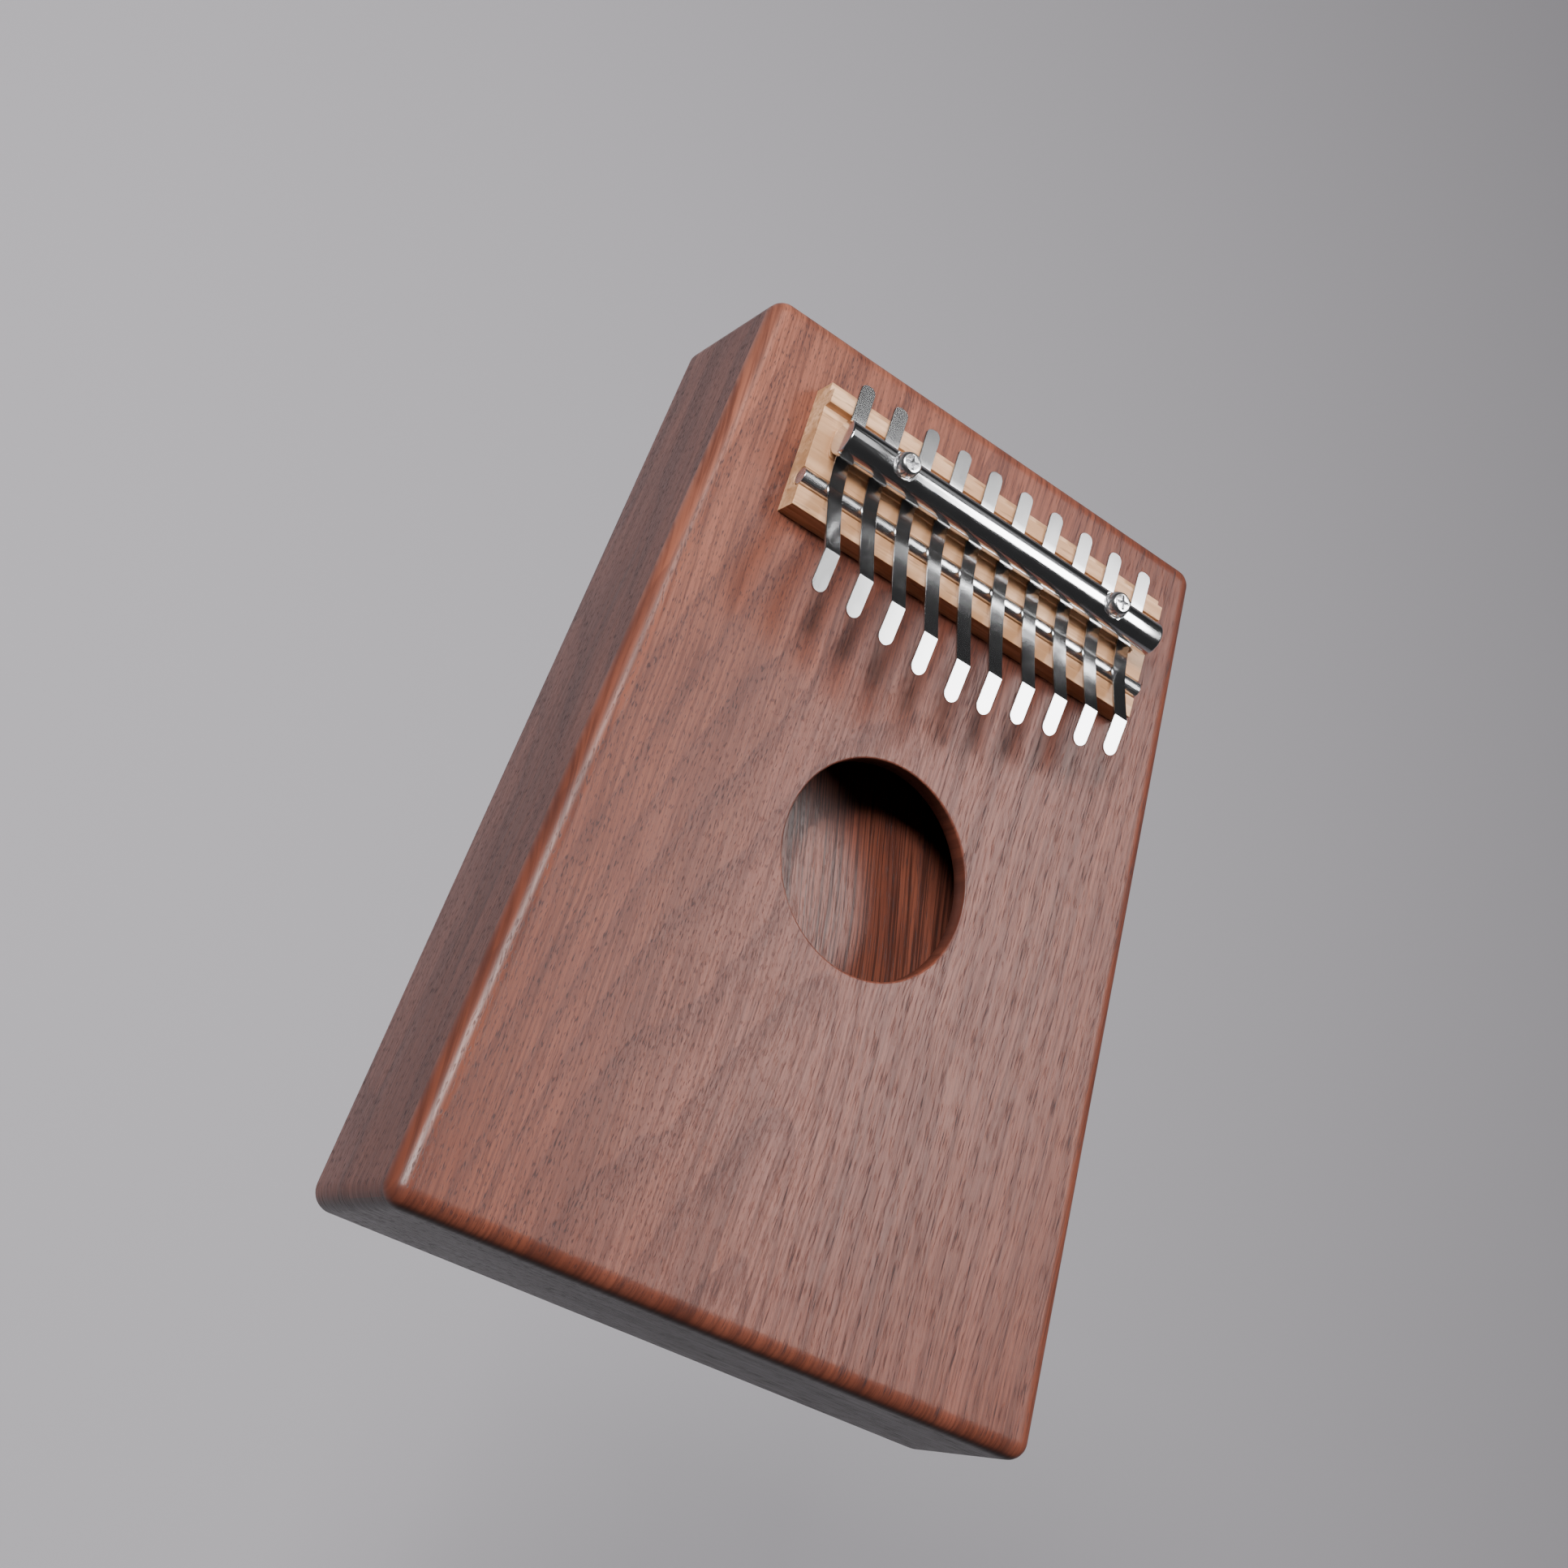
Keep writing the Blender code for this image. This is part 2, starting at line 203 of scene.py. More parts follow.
def walnut(name, seed, light=1.0, stripes=0.0, lean=0.0, gloss=0.35, shine=0.3,
           walls=False, arched=False):
    """Satin walnut: slow colour bands, ring lines, and short dark open pores.

    The pattern ignores depth, so streaks run over the rounded edges.  walls wraps the grain
    level round the box's sides; stripes adds dark lines, lean slants the grain and
    arched gives the rings of a flat-sawn board.
    """
    n = Nodes(name)
    x, y, z = n.split(n.coordinates())
    laid = n.add("ShaderNodeCombineXYZ")
    n.feed(laid.inputs["X"], z if walls else n.math("MULTIPLY_ADD", y, lean, x))
    n.feed(laid.inputs["Y"], n.math("ADD", x, y) if walls else y)

    def stretched(vector, across, along, offset):
        start = (seed * 2.3 + offset, seed * 1.1 + offset, seed)
        return n.mapped(vector, (across, along, 0), start)

    # Slow sideways waves bend every line of the grain together.
    wave = n.noise(stretched(laid.outputs[0], 20, 8, 0), 2.0, 0.5)
    shift = n.add("ShaderNodeCombineXYZ")
    sway = 0.003 if walls else 0.012 + 0.012 * stripes
    n.feed(shift.inputs["X"], n.math("MULTIPLY", n.math("SUBTRACT", wave, 0.5), sway))
    moved = n.add("ShaderNodeVectorMath", operation="ADD")
    n.feed(moved.inputs[0], laid.outputs[0])
    n.feed(moved.inputs[1], shift.outputs[0])
    grain = moved.outputs[0]

    bands = n.noise(stretched(grain, 60, 3, 1), 3.0, 0.55)
    silk = n.noise(stretched(grain, 2000, 50, 2), 3.0, 0.65)
    lines = n.noise(stretched(grain, 420, 7, 3), 3.0, 0.65)
    mottle = n.noise(stretched(grain, 150, 50, 4), 3.0, 0.6)

    # Rings: level lines of a slow hill, each darkening slowly and then ending sharply.
    hill = n.math("MULTIPLY", n.noise(stretched(grain, 24, 5, 5), 1.5, 0.45), 13)
    if arched:
        # Arches open towards the tail on the -X side; straight lines run along the +X side.
        left = n.math("MINIMUM", x, 0.0)
        right = n.math("MAXIMUM", x, 0.0)
        slope = n.math("MULTIPLY", y, n.remap(x, -0.004, 0.014, 34.0, 0.0))
        arch = n.math("MULTIPLY_ADD", n.math("MULTIPLY", left, left), 2100, slope)
        arch = n.math("MULTIPLY_ADD", right, 190, arch)
        hill = n.math("MULTIPLY_ADD", hill, 0.42, arch)
    saw = n.math("FRACT", n.math("MULTIPLY_ADD", mottle, 0.5, hill))
    ring = n.math("MULTIPLY", n.remap(saw, 0.45, 0.93), n.remap(saw, 0.995, 0.95))

    # Pores gather along the rings: dots on the -X side, longer dashes towards +X.
    crowd = n.math("ADD", n.math("MULTIPLY", ring, 0.05), n.math("MULTIPLY", mottle, 0.06))
    dots = n.noise(stretched(grain, 4200, 800, 6), 1.0, 0.5)
    pore = n.remap(n.math("ADD", dots, crowd), 0.58, 0.76)
    dashes = n.noise(stretched(grain, 3900, 240, 7), 2.0, 0.6)
    dash = n.remap(n.math("ADD", dashes, crowd), 0.57, 0.76)
    long_side = n.remap(x, -0.035, 0.02, 0.25, 1.0)
    short_side = n.math("SUBTRACT", 1.15, long_side, clamp=True)
    dotted = n.math("MULTIPLY", pore, short_side)
    pore = n.math("MAXIMUM", dotted, n.math("MULTIPLY", dash, long_side))
    facing = n.split(n.coordinates("Normal"))
    if not walls:
        # Sanding and lacquer close the pores on the rounded edges.
        flat = n.remap(n.math("ABSOLUTE", facing["Z"]), 0.75, 0.98, 0.1, 1.0)
        pore = n.math("MULTIPLY", pore, flat)

    def tone(red, green, blue):
        return (red * light, green * light, blue * light, 1)

    colour = n.mix(n.remap(bands, 0.3, 0.7), tone(0.165, 0.047, 0.028), tone(0.265, 0.083, 0.053))
    colour = n.mix(n.remap(mottle, 0.35, 0.75, 0.0, 0.40), colour, tone(0.300, 0.092, 0.050))
    if not (walls or stripes):
        # Painted light: the board's colour is made paler towards its head on the -X side, standing
        # in for the stronger light that falls there.
        painted_light_place = n.math("MULTIPLY_ADD", x, -1.2, y)
        colour = n.mix(n.remap(painted_light_place, 0.03, 0.125, 0.0, 0.42), colour, tone(0.62, 0.24, 0.155))
    colour = n.mix(n.remap(silk, 0.38, 0.68, 0.0, 0.75), colour, tone(0.105, 0.032, 0.022))
    line_depth = 0.75 if walls else 0.35
    colour = n.mix(n.remap(lines, 0.50, 0.70, 0.0, line_depth), colour, tone(0.07, 0.024, 0.018))
    colour = n.mix(n.math("MULTIPLY", ring, 0.38), colour, tone(0.105, 0.037, 0.029))
    colour = n.mix(n.math("MULTIPLY", pore, 0.80), colour, tone(0.036, 0.021, 0.023))
    if stripes:
        streak = n.noise(stretched(grain, 2300, 30, 8), 2.0, 0.6)
        colour = n.mix(n.remap(streak, 0.47, 0.60, 0.0, stripes), colour, tone(0.022, 0.010, 0.009))
    # Painted shade: the tail wall and the underside of the tail rounding face away from the light,
    # so their colour is darkened here.
    low, high, most = (-0.45, -0.95, 0.85) if walls else (-0.70, -0.96, 0.85)
    painted_tail_shade = n.remap(facing["Y"], low, high, 0.0, most)
    colour = n.mix(painted_tail_shade, colour, (0.03, 0.018, 0.016, 1) if walls else (0.03, 0.010, 0.006, 1))
    n.feed(n.shader.inputs["Base Color"], colour)
    rough = n.remap(silk, 0.3, 0.7, gloss - 0.04, gloss + 0.05)
    n.feed(n.shader.inputs["Roughness"], n.math("ADD", rough, n.math("MULTIPLY", pore, 0.2)))
    n.shader.inputs["Specular IOR Level"].default_value = shine
    relief = n.math("SUBTRACT", n.math("MULTIPLY", silk, 0.5), n.math("MULTIPLY", pore, 0.8))
    n.bump(relief, 0.00004, 0.7)
    return n.material


def maple(name, seed, light=1.0):
    """Pale fine-grained bridge wood, its grain along X."""
    n = Nodes(name)

    def cells(across, along, offset):
        turned_grain = n.mapped(n.coordinates(), (1, 1, 1), turn=math.radians(90))
        return n.mapped(turned_grain, (across, along, across), (seed, offset + seed, 0))

    bands = n.noise(cells(260, 22, 0), 3.0, 0.55)
    lines = n.noise(cells(900, 60, 1), 2.0, 0.6)
    flecks = n.remap(n.noise(cells(1500, 170, 2), 1.0, 0.5), 0.62, 0.74)
    pale = (0.88 * light, 0.54 * light, 0.32 * light, 1)
    warm = (0.52 * light, 0.265 * light, 0.125 * light, 1)
    brown = (0.26 * light, 0.125 * light, 0.055 * light, 1)
    colour = n.mix(n.remap(bands, 0.3, 0.7), pale, warm)
    colour = n.mix(n.remap(lines, 0.42, 0.64, 0.0, 0.8), colour, warm)
    colour = n.mix(n.math("MULTIPLY", flecks, 0.5), colour, brown)
    n.feed(n.shader.inputs["Base Color"], colour)
    n.feed(n.shader.inputs["Roughness"], n.remap(lines, 0.3, 0.7, 0.42, 0.55))
    n.bump(n.math("SUBTRACT", lines, flecks), 0.00006, 0.6)
    return n.material


def polished(name, colour, rough, seed, scratch=0.3, axis="X", uneven=0.5):
    """Polished metal with fine scratches along one axis."""
    n = Nodes(name)
    scale = (60, 4200, 4200) if axis == "X" else (4200, 60, 4200)
    hairs = n.noise(n.mapped(n.coordinates(), scale, (seed, seed, seed)), 2.0, 0.6)
    cloud = n.noise(n.mapped(n.coordinates(), (230, 230, 230), (seed, 0, 0)), 3.0, 0.6)
    mixed = n.math("ADD", n.math("MULTIPLY", hairs, 0.5), n.math("MULTIPLY", cloud, 0.5))
    low, high = rough * (1 - uneven / 2), rough * (1 + uneven / 2)
    n.feed(n.shader.inputs["Roughness"], n.remap(mixed, 0.3, 0.7, low, high))
    shade = n.mix(n.remap(mixed, 0.3, 0.7), (*[c * 0.97 for c in colour], 1), (*colour, 1))
    n.feed(n.shader.inputs["Base Color"], shade)
    n.shader.inputs["Metallic"].default_value = 1.0
    n.bump(hairs, 0.000004 * scratch / 0.3, 0.5)
    return n.material


# ---------------------------------------------------------------- mesh helpers


def shown(name, mesh, material, smooth=None):
    """Link a mesh as an object, shaded smooth below a crease angle in degrees."""
    if smooth is not None:
        mesh.shade_smooth()
        mesh.set_sharp_from_angle(angle=math.radians(smooth))
    if material is not None:
        mesh.materials.append(material)
    obj = bpy.data.objects.new(name, mesh)
    bpy.context.scene.collection.objects.link(obj)
    return obj


def tube(name, rings, material, smooth=40, closed=False):
    """A surface through rings of millimetre points, capped unless it closes on itself."""
    mesh = bpy.data.meshes.new(name)
    shape = bmesh.new()
    loops = [[shape.verts.new(Vector(point) * MM) for point in ring] for ring in rings]
    size = len(loops[0])
    pairs = list(zip(loops, loops[1:]))
    if closed:
        pairs.append((loops[-1], loops[0]))
    for low, high in pairs:
        for k in range(size):
            nxt = (k + 1) % size
            shape.faces.new((low[k], low[nxt], high[nxt], high[k]))
    if not closed:
        shape.faces.new(reversed(loops[0]))
        shape.faces.new(loops[-1])
    bmesh.ops.recalc_face_normals(shape, faces=shape.faces)
    shape.to_mesh(mesh)
    shape.free()
    return shown(name, mesh, material, smooth)


def bevelled(obj, width, segments=2, angle=35):
    """Soften an object's hard edges by a small real radius."""
    mod = obj.modifiers.new("soft_edges", "BEVEL")
    mod.width = width * MM
    mod.segments = segments
    mod.limit_method = "ANGLE"
    mod.angle_limit = math.radians(angle)
    mod.harden_normals = True
    return obj


def cut(obj, cutter, operation="DIFFERENCE"):
    """Cut one mesh with another for good, and drop the cutter."""
    mod = obj.modifiers.new("cut", "BOOLEAN")
    mod.object = cutter
    mod.operation = operation
    mod.solver = "EXACT"
    graph = bpy.context.evaluated_depsgraph_get()
    result = bpy.data.meshes.new_from_object(obj.evaluated_get(graph))
    obj.modifiers.remove(mod)
    obj.data = result
    bpy.data.objects.remove(cutter)
    return obj


def circle(radius, steps):
    turns = (2 * math.pi * step / steps for step in range(steps))
    return [(radius * math.cos(turn), radius * math.sin(turn)) for turn in turns]


def turned(name, profile, centre, material, steps=72, smooth=35):
    """A round body about a vertical axis, from (radius, z) pairs."""
    cx, cy = centre
    rings = [[(cx + x, cy + y, z) for x, y in circle(r, steps)] for r, z in profile]
    return tube(name, rings, material, smooth)


def half_width(y):
    share = y / BODY_LENGTH + 0.5
    return (TAIL_WIDTH + (HEAD_WIDTH - TAIL_WIDTH) * share) / 2


def side_corner_points(inset):
    """The plan's sharp corners, drawn in: tail left, tail right, head right, head left."""
    end = BODY_LENGTH / 2 - inset
    tail = half_width(-end) - inset
    head = half_width(end) - inset
    return [Vector(p) for p in ((-tail, -end), (tail, -end), (head, end), (-head, end))]


def arc_at(index, inset):
    """Points round one rounded corner of the plan."""
    corners = side_corner_points(inset)
    radius = max(CORNER_R - inset, 0.05)
    corner = corners[index]
    back = (corners[index - 1] - corner).normalized()
    ahead = (corners[(index + 1) % 4] - corner).normalized()
    half = back.angle(ahead) / 2
    centre = corner + (back + ahead).normalized() * (radius / math.sin(half))
    first = corner + back * (radius / math.tan(half)) - centre
    last = corner + ahead * (radius / math.tan(half)) - centre
    sweep = first.angle_signed(last)
    points = []
    for step in range(ARC_STEPS + 1):
        points.append(centre + Matrix.Rotation(-sweep * step / ARC_STEPS, 2) @ first)
    return points


def plan(inset):
    """The whole plan outline with even points along its sides."""
    arcs = [arc_at(index, inset) for index in range(4)]
    outline = []
    for index in range(4):
        outline += arcs[index]
        start, stop = arcs[index][-1], arcs[(index + 1) % 4][0]
        steps = SIDE_STEPS[index]
        outline += [start.lerp(stop, step / steps) for step in range(1, steps)]
    return outline


# ---------------------------------------------------------------- walnut box

top_wood = walnut("walnut_soundboard", 1.0, light=0.75, gloss=0.36, arched=True)
back_wood = walnut("walnut_back", 5.0, light=0.84, stripes=0.65, lean=0.21)
wall_wood = walnut("walnut_walls", 9.0, light=0.66, shine=0.36, walls=True)


def rounding(face_z, inner_z, edge):
    """Rings from a panel's inner face round its edge to its flat."""
    out = 1 if face_z > inner_z else -1
    rings = [[(p.x, p.y, inner_z) for p in plan(0)]]
    for step in range(ROUND_STEPS + 1):
        turn = math.pi / 2 * step / ROUND_STEPS
        inset = edge * (1 - math.cos(turn))
        z = face_z - out * edge * (1 - math.sin(turn))
        rings.append([(p.x, p.y, z) for p in plan(inset)])
    rings.append([(p.x, p.y, face_z) for p in plan(edge + 0.25)])
    return rings


def soundboard():
    rings = rounding(TOP, TOP - PANEL, EDGE_R)
    flat = plan(EDGE_R + 0.25)
    turns = [math.atan2(p.y - HOLE_Y, p.x - HOLE_X) for p in flat]

    def rim(radius, z):
        return [(HOLE_X + radius * math.cos(t), HOLE_Y + radius * math.sin(t), z) for t in turns]

    rings.append(rim(HOLE_R + HOLE_CHAMFER + 0.3, TOP))
    for step in range(5):
        turn = math.pi / 2 * step / 4
        radius = HOLE_R + HOLE_CHAMFER * (1 - math.sin(turn))
        rings.append(rim(radius, TOP - HOLE_CHAMFER * (1 - math.cos(turn))))
    rings.append(rim(HOLE_R, TOP - PANEL + 0.2))
    rings.append(rim(HOLE_R + 0.2, TOP - PANEL))
    board = tube("soundboard_walnut", rings, top_wood, 50, closed=True)
    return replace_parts(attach(board, BOX), "soundboard")


def back_panel():
    panel = tube("back_walnut", rounding(0.0, BACK, BACK_EDGE_R), back_wood, 50)
    panel.data.materials.append(wall_wood)
    for face in panel.data.polygons:
        if abs(face.normal.z) < 0.5:
            face.material_index = 1
    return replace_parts(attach(panel, BOX), "back_board")


def rail(node, index):
    """One wall of the box, mitred at the middle of its two rounded corners."""
    first, last = arc_at(index, 0), arc_at((index + 1) % 4, 0)
    middle = ARC_STEPS // 2
    outer = first[middle:] + last[: middle + 1]
    inner_corners = side_corner_points(WALL)
    inner = [inner_corners[(index + 1) % 4], inner_corners[index]]
    outline = outer + inner
    rings = [[(p.x, p.y, z) for p in outline] for z in (BACK, TOP - PANEL)]
    wall = tube(node + "_walnut", rings, wall_wood, 30)
    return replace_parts(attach(wall, BOX), node)


soundboard()
back_panel()
for side_index, side_name in enumerate(("tail", "right", "head", "left")):
    rail(side_name + "_rail", side_index)

# ---------------------------------------------------------------- bridge board

bridge_wood = maple("bridge_maple", 3.0, light=0.92)


def bridge():
    groove = []
    steps = 24
    for step in range(steps + 1):
        turn = math.pi * step / steps
        groove.append((ROD_Y + GROOVE_R * math.cos(turn), ROD_Z - GROOVE_R * math.sin(turn)))
    profile = [
        (BRIDGE_TAIL_Y, TOP),
        (BRIDGE_HEAD_Y, TOP),
        (BRIDGE_HEAD_Y, LAND_Z),
        (RIDGE_HEAD_Y + 0.15, LAND_Z),
        (RIDGE_HEAD_Y, RIDGE_Z),
        (RIDGE_TAIL_Y, RIDGE_Z),
        (RIDGE_TAIL_Y - 0.2, LAND_Z),
        (ROD_Y + GROOVE_R, LAND_Z),
        *groove,
        (ROD_Y - GROOVE_R, LAND_Z),
        (BRIDGE_TAIL_Y, LAND_Z),
    ]
    rings = []
    for x in (BRIDGE_X - BRIDGE_HALF, BRIDGE_X + BRIDGE_HALF):
        rings.append([(x, y, z) for y, z in profile])
    board = tube("bridge_maple_board", rings, bridge_wood, 30)
    bed_outline = []
    radius = 0.9
    for cx, cy, start in (
        (BRIDGE_X + BED_HALF - radius, BED_HEAD_Y - radius, 0),
        (BRIDGE_X - BED_HALF + radius, BED_HEAD_Y - radius, 90),
        (BRIDGE_X - BED_HALF + radius, BED_TAIL_Y + radius, 180),
        (BRIDGE_X + BED_HALF - radius, BED_TAIL_Y + radius, 270),
    ):
        for step in range(9):
            turn = math.radians(start + 90 * step / 8)
            bed_outline.append((cx + radius * math.cos(turn), cy + radius * math.sin(turn)))
    rings = [[(x, y, z) for x, y in bed_outline] for z in (LAND_Z - 1, BED_Z)]
    cut(board, tube("bed", rings, None, 30), "UNION")
    bevelled(board, 0.09)
    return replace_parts(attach(board, BOX), "bridge_board")


bridge()

brace_wood = maple("brace_maple", 8.0, light=0.8)
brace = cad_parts["bridge_brace"]
brace.data.materials.clear()
brace.data.materials.append(brace_wood)

# ---------------------------------------------------------------- rods and screws

bar_metal = polished("clamp_bar_chrome", (0.78, 0.78, 0.79), 0.13, 2.0, 0.9)
rod_metal = polished("front_rod_chrome", (0.84, 0.84, 0.85), 0.24, 5.0)
screw_metal = polished("screw_chrome", (0.86, 0.86, 0.87), 0.22, 7.0, 0.9, axis="Y")
tine_metal = polished("tine_steel", (0.52, 0.52, 0.525), 0.18, 11.0, 0.1, axis="Y", uneven=0.15)


def crosswise(name, y, z, radius, half, bevel, material, steps):
    """A round rod along X with a rounded edge at each end."""
    rings = []
    ends = []
    for step in range(5):
        turn = math.pi / 2 * step / 4
        ends.append((half - bevel * (1 - math.sin(turn)), bevel * (1 - math.cos(turn))))
    stations = [(-x, inset) for x, inset in reversed(ends)]
    stations += [(x, inset) for x, inset in ends]
    for x, inset in stations:
        ring = [(BRIDGE_X + x, y + a, z + b) for a, b in circle(radius - inset, steps)]
        rings.append(ring)
    return tube(name, rings, material, 30)


def clamp_bar():
    bar = crosswise("clamp_bar_round", BAR_Y, BAR_Z, BAR_R, BAR_HALF, 0.35, bar_metal, 144)
    for side in (-1, 1):
        spot = (BRIDGE_X + side * SCREW_X, BAR_Y)
        seat = turned("seat", ((SEAT_R, SEAT_Z), (SEAT_R, TOP + 14)), spot, None)
        cut(bar, seat)
    bar.data.shade_smooth()
    bar.data.set_sharp_from_angle(angle=math.radians(25))
    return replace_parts(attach(bar, BOX), "clamp_bar")


def front_rod():
    rod = crosswise("front_rod_round", ROD_Y, ROD_Z, ROD_R, BRIDGE_HALF, 0.12, rod_metal, 96)
    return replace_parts(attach(rod, BOX), "front_rod")


def clamp_screw(side, node):
    spot = (BRIDGE_X + side * SCREW_X, BAR_Y)
    profile = (
        (0.6, TOP - 8.4),
        (0.9, TOP - 7.9),
        (0.9, SEAT_Z),
        (2.06, SEAT_Z + 0.01),
        (2.15, SEAT_Z + 0.07),
        (2.17, SEAT_Z + 0.16),
        (2.12, SEAT_Z + 0.24),
        (2.00, SEAT_Z + 0.29),
        (1.98, SEAT_Z + 0.36),
        (2.04, SEAT_Z + 0.52),
        (2.07, SEAT_Z + 0.80),
        (2.05, SEAT_Z + 1.10),
        (1.98, SEAT_Z + 1.40),
        (1.87, SEAT_Z + 1.70),
        (1.74, SEAT_Z + 1.94),
        (1.62, SEAT_Z + 2.09),
        (1.52, SEAT_Z + 2.16),
        (1.40, SEAT_Z + 2.20),
    )
    screw = turned(node + "_turned", profile, spot, screw_metal, smooth=40)
    rings = []
    for z, reach, arm in (
        (SCREW_TOP - 1.3, 0.35, 0.14),
        (SCREW_TOP - 0.9, 0.80, 0.20),
        (SCREW_TOP + 0.3, 1.35, 0.30),
    ):
        ring = []
        for quarter in range(4):
            spin = Matrix.Rotation(math.pi / 2 * quarter + math.radians(12), 2)
            for corner in ((arm, arm), (arm * 0.8, reach), (-arm * 0.8, reach)):
                offset = spin @ Vector(corner)
                ring.append((spot[0] + offset.x, spot[1] + offset.y, z))
        rings.append(ring)
    cut(screw, tube("recess", rings, None, 30))
    screw.data.shade_smooth()
    screw.data.set_sharp_from_angle(angle=math.radians(30))
    bevelled(screw, 0.03, 2, 40)
    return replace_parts(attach(screw, node), node)


clamp_bar()
front_rod()
clamp_screw(-1, "clamp_screw_left")
clamp_screw(1, "clamp_screw_right")

# ---------------------------------------------------------------- tines


def filleted(points, radii, steps=6):
    """An open polyline with its inner corners rounded."""
    line = [Vector(points[0])]
    for index in range(1, len(points) - 1):
        corner = Vector(points[index])
        back = Vector(points[index - 1]) - corner
        ahead = Vector(points[index + 1]) - corner
        half = back.angle(ahead) / 2
        reach = min(radii[index] / math.tan(half), back.length * 0.48, ahead.length * 0.48)
        first = corner + back.normalized() * reach
        last = corner + ahead.normalized() * reach
        for step in range(steps + 1):
            share = step / steps
            line.append(first.lerp(corner, share).lerp(corner.lerp(last, share), share))
    line.append(Vector(points[-1]))
    return line


def sampled(line, gap):
    """The same line with no step longer than gap."""
    result = [line[0]]
    for point in line[1:]:
        start = result[-1]
        steps = max(1, math.ceil((point - start).length / gap))
        result += [start.lerp(point, step / steps) for step in range(1, steps + 1)]
    return result


def tine_line(bend_y, bend_z):
    """Upper face of a tine in Y and Z, from its rear end to its tip."""
    total = bend_z - TINE_ROD_Z
    reach = ROD_Y - bend_y
    # Flat on the ridge, down under the bar, then up over the rod.
    points = [
        (TINE_REAR_Y, TINE_REAR_Z),
        (RIDGE_TAIL_Y - 0.9, TINE_REAR_Z),
        (BED_HEAD_Y + 0.3, TINE_CLAMP_Z),
        (BED_TAIL_Y - 0.3, TINE_CLAMP_Z),
        (47.3, TOP + 5.46),
        (46.0, TOP + 5.74),
    ]
    radii = [0, 0.8, 0.8, 1.2, 5, 4]
    # The free length sags a little below a straight line from the rod to the bend.
    for share in (0.3, 0.65):
        lifted = share + TINE_SAG * share * (share - 1)
        points.append((ROD_Y - reach * share, TOP + TINE_ROD_Z + total * lifted))
        radii.append(30)
    points.append((bend_y, TOP + bend_z))
    radii.append(0.7)
    points.append((bend_y - TIP_LENGTH, TOP + bend_z - TIP_LENGTH * TIP_SLOPE))
    radii.append(0)
    return filleted(points, radii)


def tine(index):
    tag = f"tine_{index + 1:02d}"
    centre = BRIDGE_X + (index - (TINE_COUNT - 1) / 2) * TINE_PITCH
    bend_y, bend_z = TIP_BEND_Y[index], TIP_BEND_Z[index]
    tip_y = bend_y - TIP_LENGTH
    half = TINE_WIDTH / 2
    line = sampled(tine_line(bend_y, bend_z), 1.2)
    # Closer stations round the rear corners and the half-round tip.
    stations = []
    for point in line:
        if tip_y + half < point.x < TINE_REAR_Y - REAR_CORNER_R:
            stations.append(point)
    rear = []
    for step in range(9):
        turn = math.pi / 2 * step / 8
        rear.append(Vector((TINE_REAR_Y - REAR_CORNER_R * (1 - math.sin(turn)), TINE_REAR_Z)))
    tip = []
    for step in range(15):
        turn = math.pi / 2 * step / 14
        y = tip_y + half * (1 - math.sin(turn))
        z = TOP + bend_z - (bend_y - y) * TIP_SLOPE
        tip.append(Vector((y, z)))
    stations = rear[::-1] + stations + tip
    rings = []
    count = len(stations)
    for k, point in enumerate(stations):
        before = stations[max(k - 1, 0)]
        after = stations[min(k + 1, count - 1)]
        along = (after - before).normalized()
        up = Vector((along.y, -along.x))
        width = half
        if point.x > TINE_REAR_Y - REAR_CORNER_R:
            sink = point.x - (TINE_REAR_Y - REAR_CORNER_R)
            width = half - REAR_CORNER_R + math.sqrt(max(REAR_CORNER_R**2 - sink**2, 0))
        if point.x < tip_y + half:
            sink = tip_y + half - point.x
            width = math.sqrt(max(half**2 - sink**2, 0.0))
        width = max(width, 0.04)
        edge = min(TINE_BEVEL, width * 0.6)
        ring = []
        for x, depth in (
            (-width + edge, 0),
            (width - edge, 0),
            (width, edge),
            (width, TINE_T - edge),
            (width - edge, TINE_T),
            (-width + edge, TINE_T),
            (-width, TINE_T - edge),
            (-width, edge),
        ):
            spot = point - up * depth
            ring.append((centre + x, spot.x, spot.y))
        rings.append(ring)
    strip = tube(tag + "_strip", rings, tine_metal, 30)
    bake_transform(strip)
    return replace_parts(strip, tag + "_root", tag + "_tongue")


for number in range(TINE_COUNT):
    tine(number)

# ---------------------------------------------------------------- studio


def softbox(name, azimuth, elevation, distance, size, radiance, along=(0, 1, 0)):
    """A rectangular light of even brightness, facing the box from a compass direction."""
    a, e = math.radians(azimuth), math.radians(elevation)
    away = Vector((math.cos(a) * math.cos(e), math.sin(a) * math.cos(e), math.sin(e)))
    light = bpy.data.lights.new(name, "AREA")
    light.shape = "RECTANGLE"
    light.size, light.size_y = size
    light.energy = radiance * math.pi * size[0] * size[1]
    obj = bpy.data.objects.new(name, light)
    side = (Vector(along) - Vector(along).project(away)).normalized()
    up = away.cross(side)
    turn = Matrix((side, up, away)).transposed()
    obj.matrix_world = Matrix.Translation(AIM + away * distance) @ turn.to_4x4()
    bpy.context.scene.collection.objects.link(obj)
    return obj


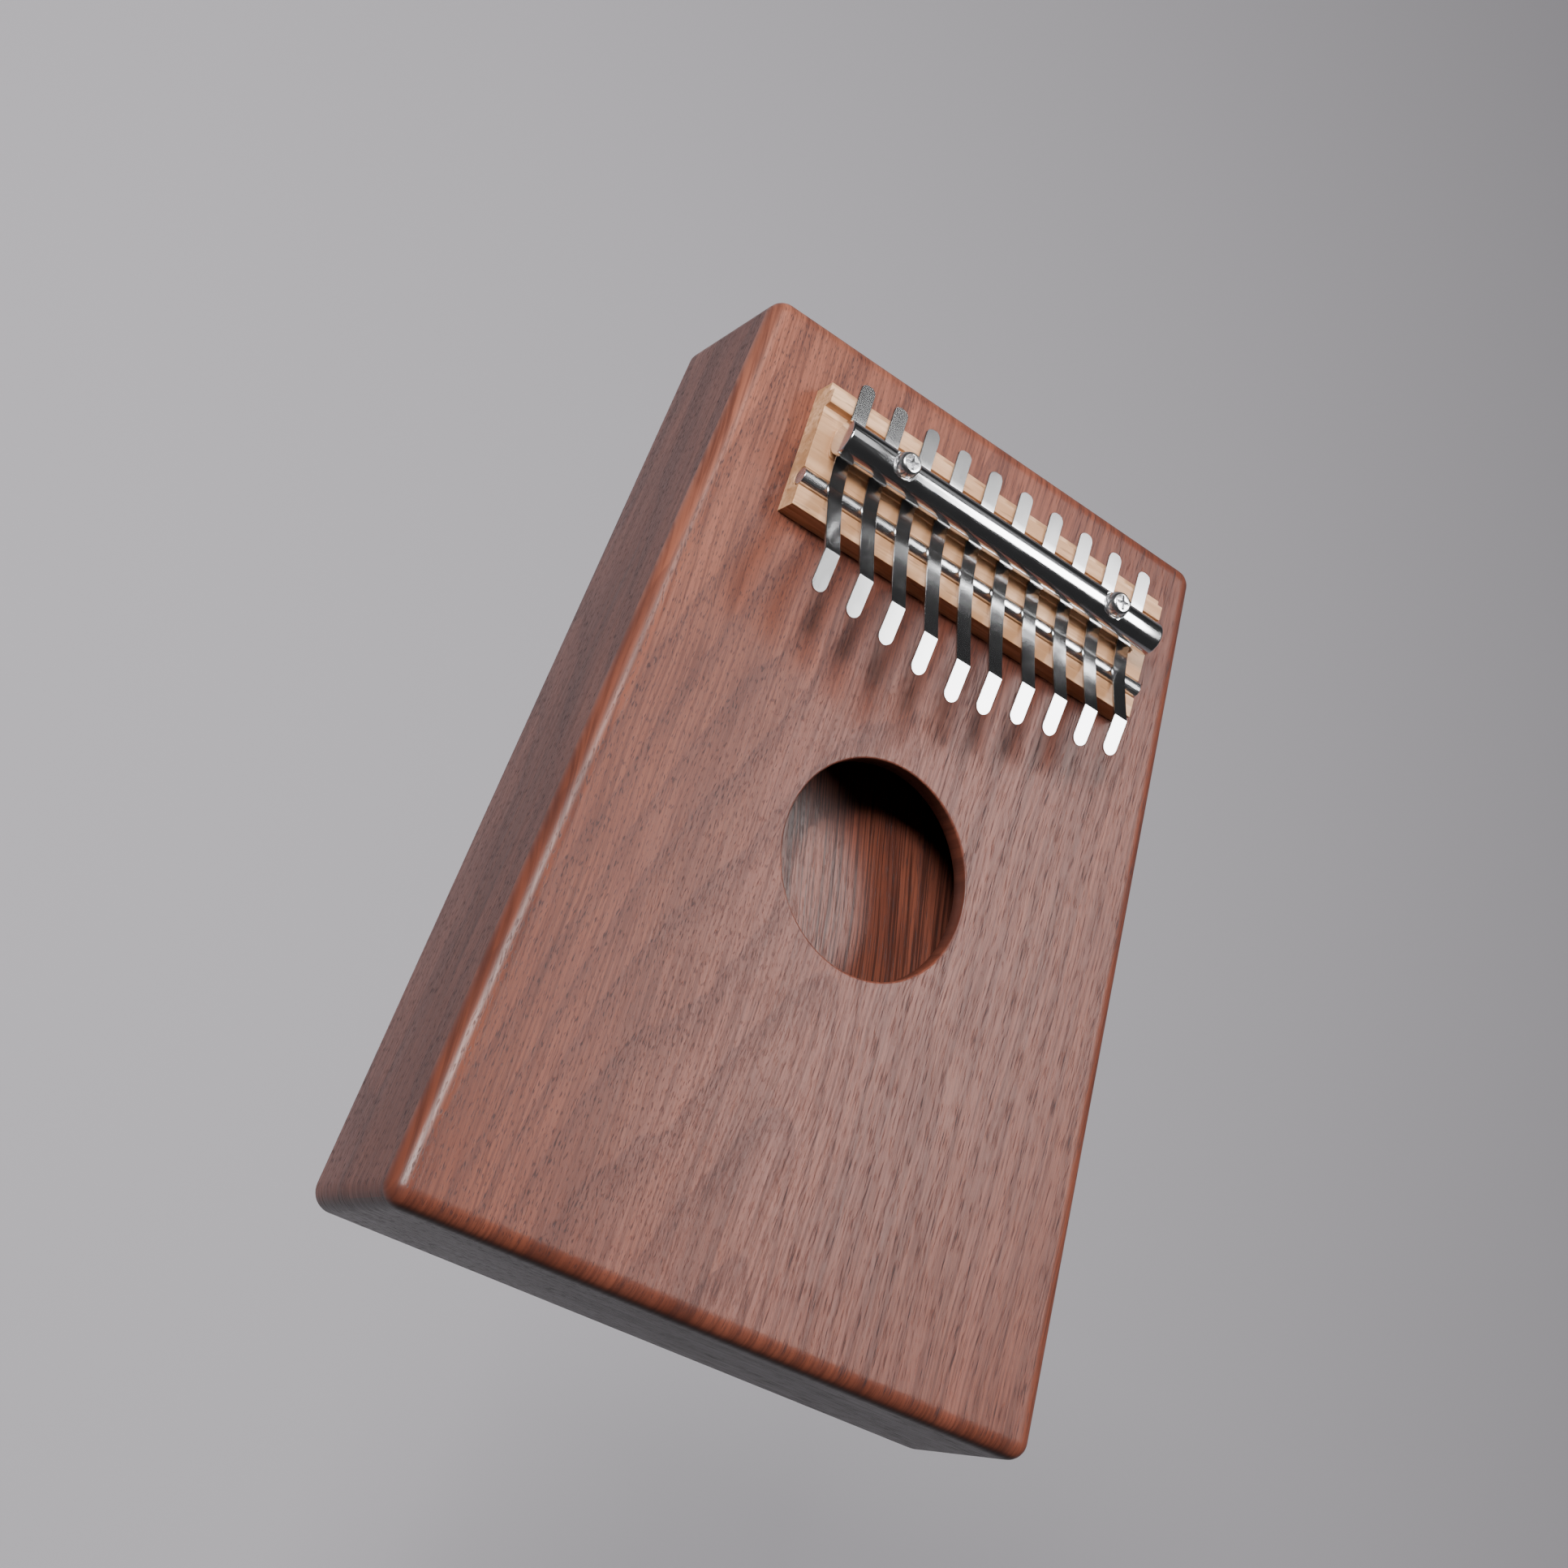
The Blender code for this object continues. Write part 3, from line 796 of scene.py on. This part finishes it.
def floor():
    n = Nodes("floor_grey")
    n.shader.inputs["Base Color"].default_value = (0.59, 0.566, 0.60, 1)
    n.shader.inputs["Roughness"].default_value = 0.9
    n.shader.inputs["Specular IOR Level"].default_value = 0.1
    # An even glow stands in for a lit studio sweep without lighting the box much.
    n.shader.inputs["Emission Color"].default_value = (1.0, 0.955, 1.02, 1)
    n.shader.inputs["Emission Strength"].default_value = 0.095
    rings = [[(x, y, z) for x, y in circle(FLOOR_R, 64)] for z in (FLOOR_Z - 20, FLOOR_Z)]
    tube("floor", rings, n.material, None)


floor()

# The metal reflects a dim room, and the camera sees a pale backdrop in its place.
world = bpy.data.worlds.new("studio")
bpy.context.scene.world = world
world.use_nodes = True
sky = world.node_tree
dark = sky.nodes["Background"]
dark.inputs["Color"].default_value = (0.03, 0.03, 0.031, 1)
backdrop = sky.nodes.new("ShaderNodeBackground")
backdrop.inputs["Color"].default_value = (0.175, 0.171, 0.177, 1)
seen = sky.nodes.new("ShaderNodeLightPath")
either = sky.nodes.new("ShaderNodeMixShader")
sky.links.new(seen.outputs["Is Camera Ray"], either.inputs[0])
sky.links.new(dark.outputs[0], either.inputs[1])
sky.links.new(backdrop.outputs[0], either.inputs[2])
sky.links.new(either.outputs[0], sky.nodes["World Output"].inputs["Surface"])

softbox("key_softbox", 19.5, 54.5, 0.5, (0.33, 0.145), 14.8, along=(-0.013, 0.994, -0.135))
softbox("left_softbox", 172, 50, 1.0, (0.16, 0.34), 62)
softbox("left_glow", 148, 57, 1.0, (0.42, 0.12), 44)
softbox("head_fill", 54, 37, 1.0, (0.7, 0.17), 0.3)
softbox("floor_light", 85, 62, 2.4, (1.5, 1.5), 0.9)

camera_data = bpy.data.cameras.new("camera")
camera_data.lens = 50
camera_data.sensor_width = 36
camera_data.clip_start = 0.01
camera_data.clip_end = 50
camera = bpy.data.objects.new("camera", camera_data)
camera.location = (-0.157684, -0.119395, 0.284360)
camera.rotation_euler = (0.2152771, -0.5872130, 0.3433895)
bpy.context.scene.collection.objects.link(camera)
bpy.context.scene.camera = camera
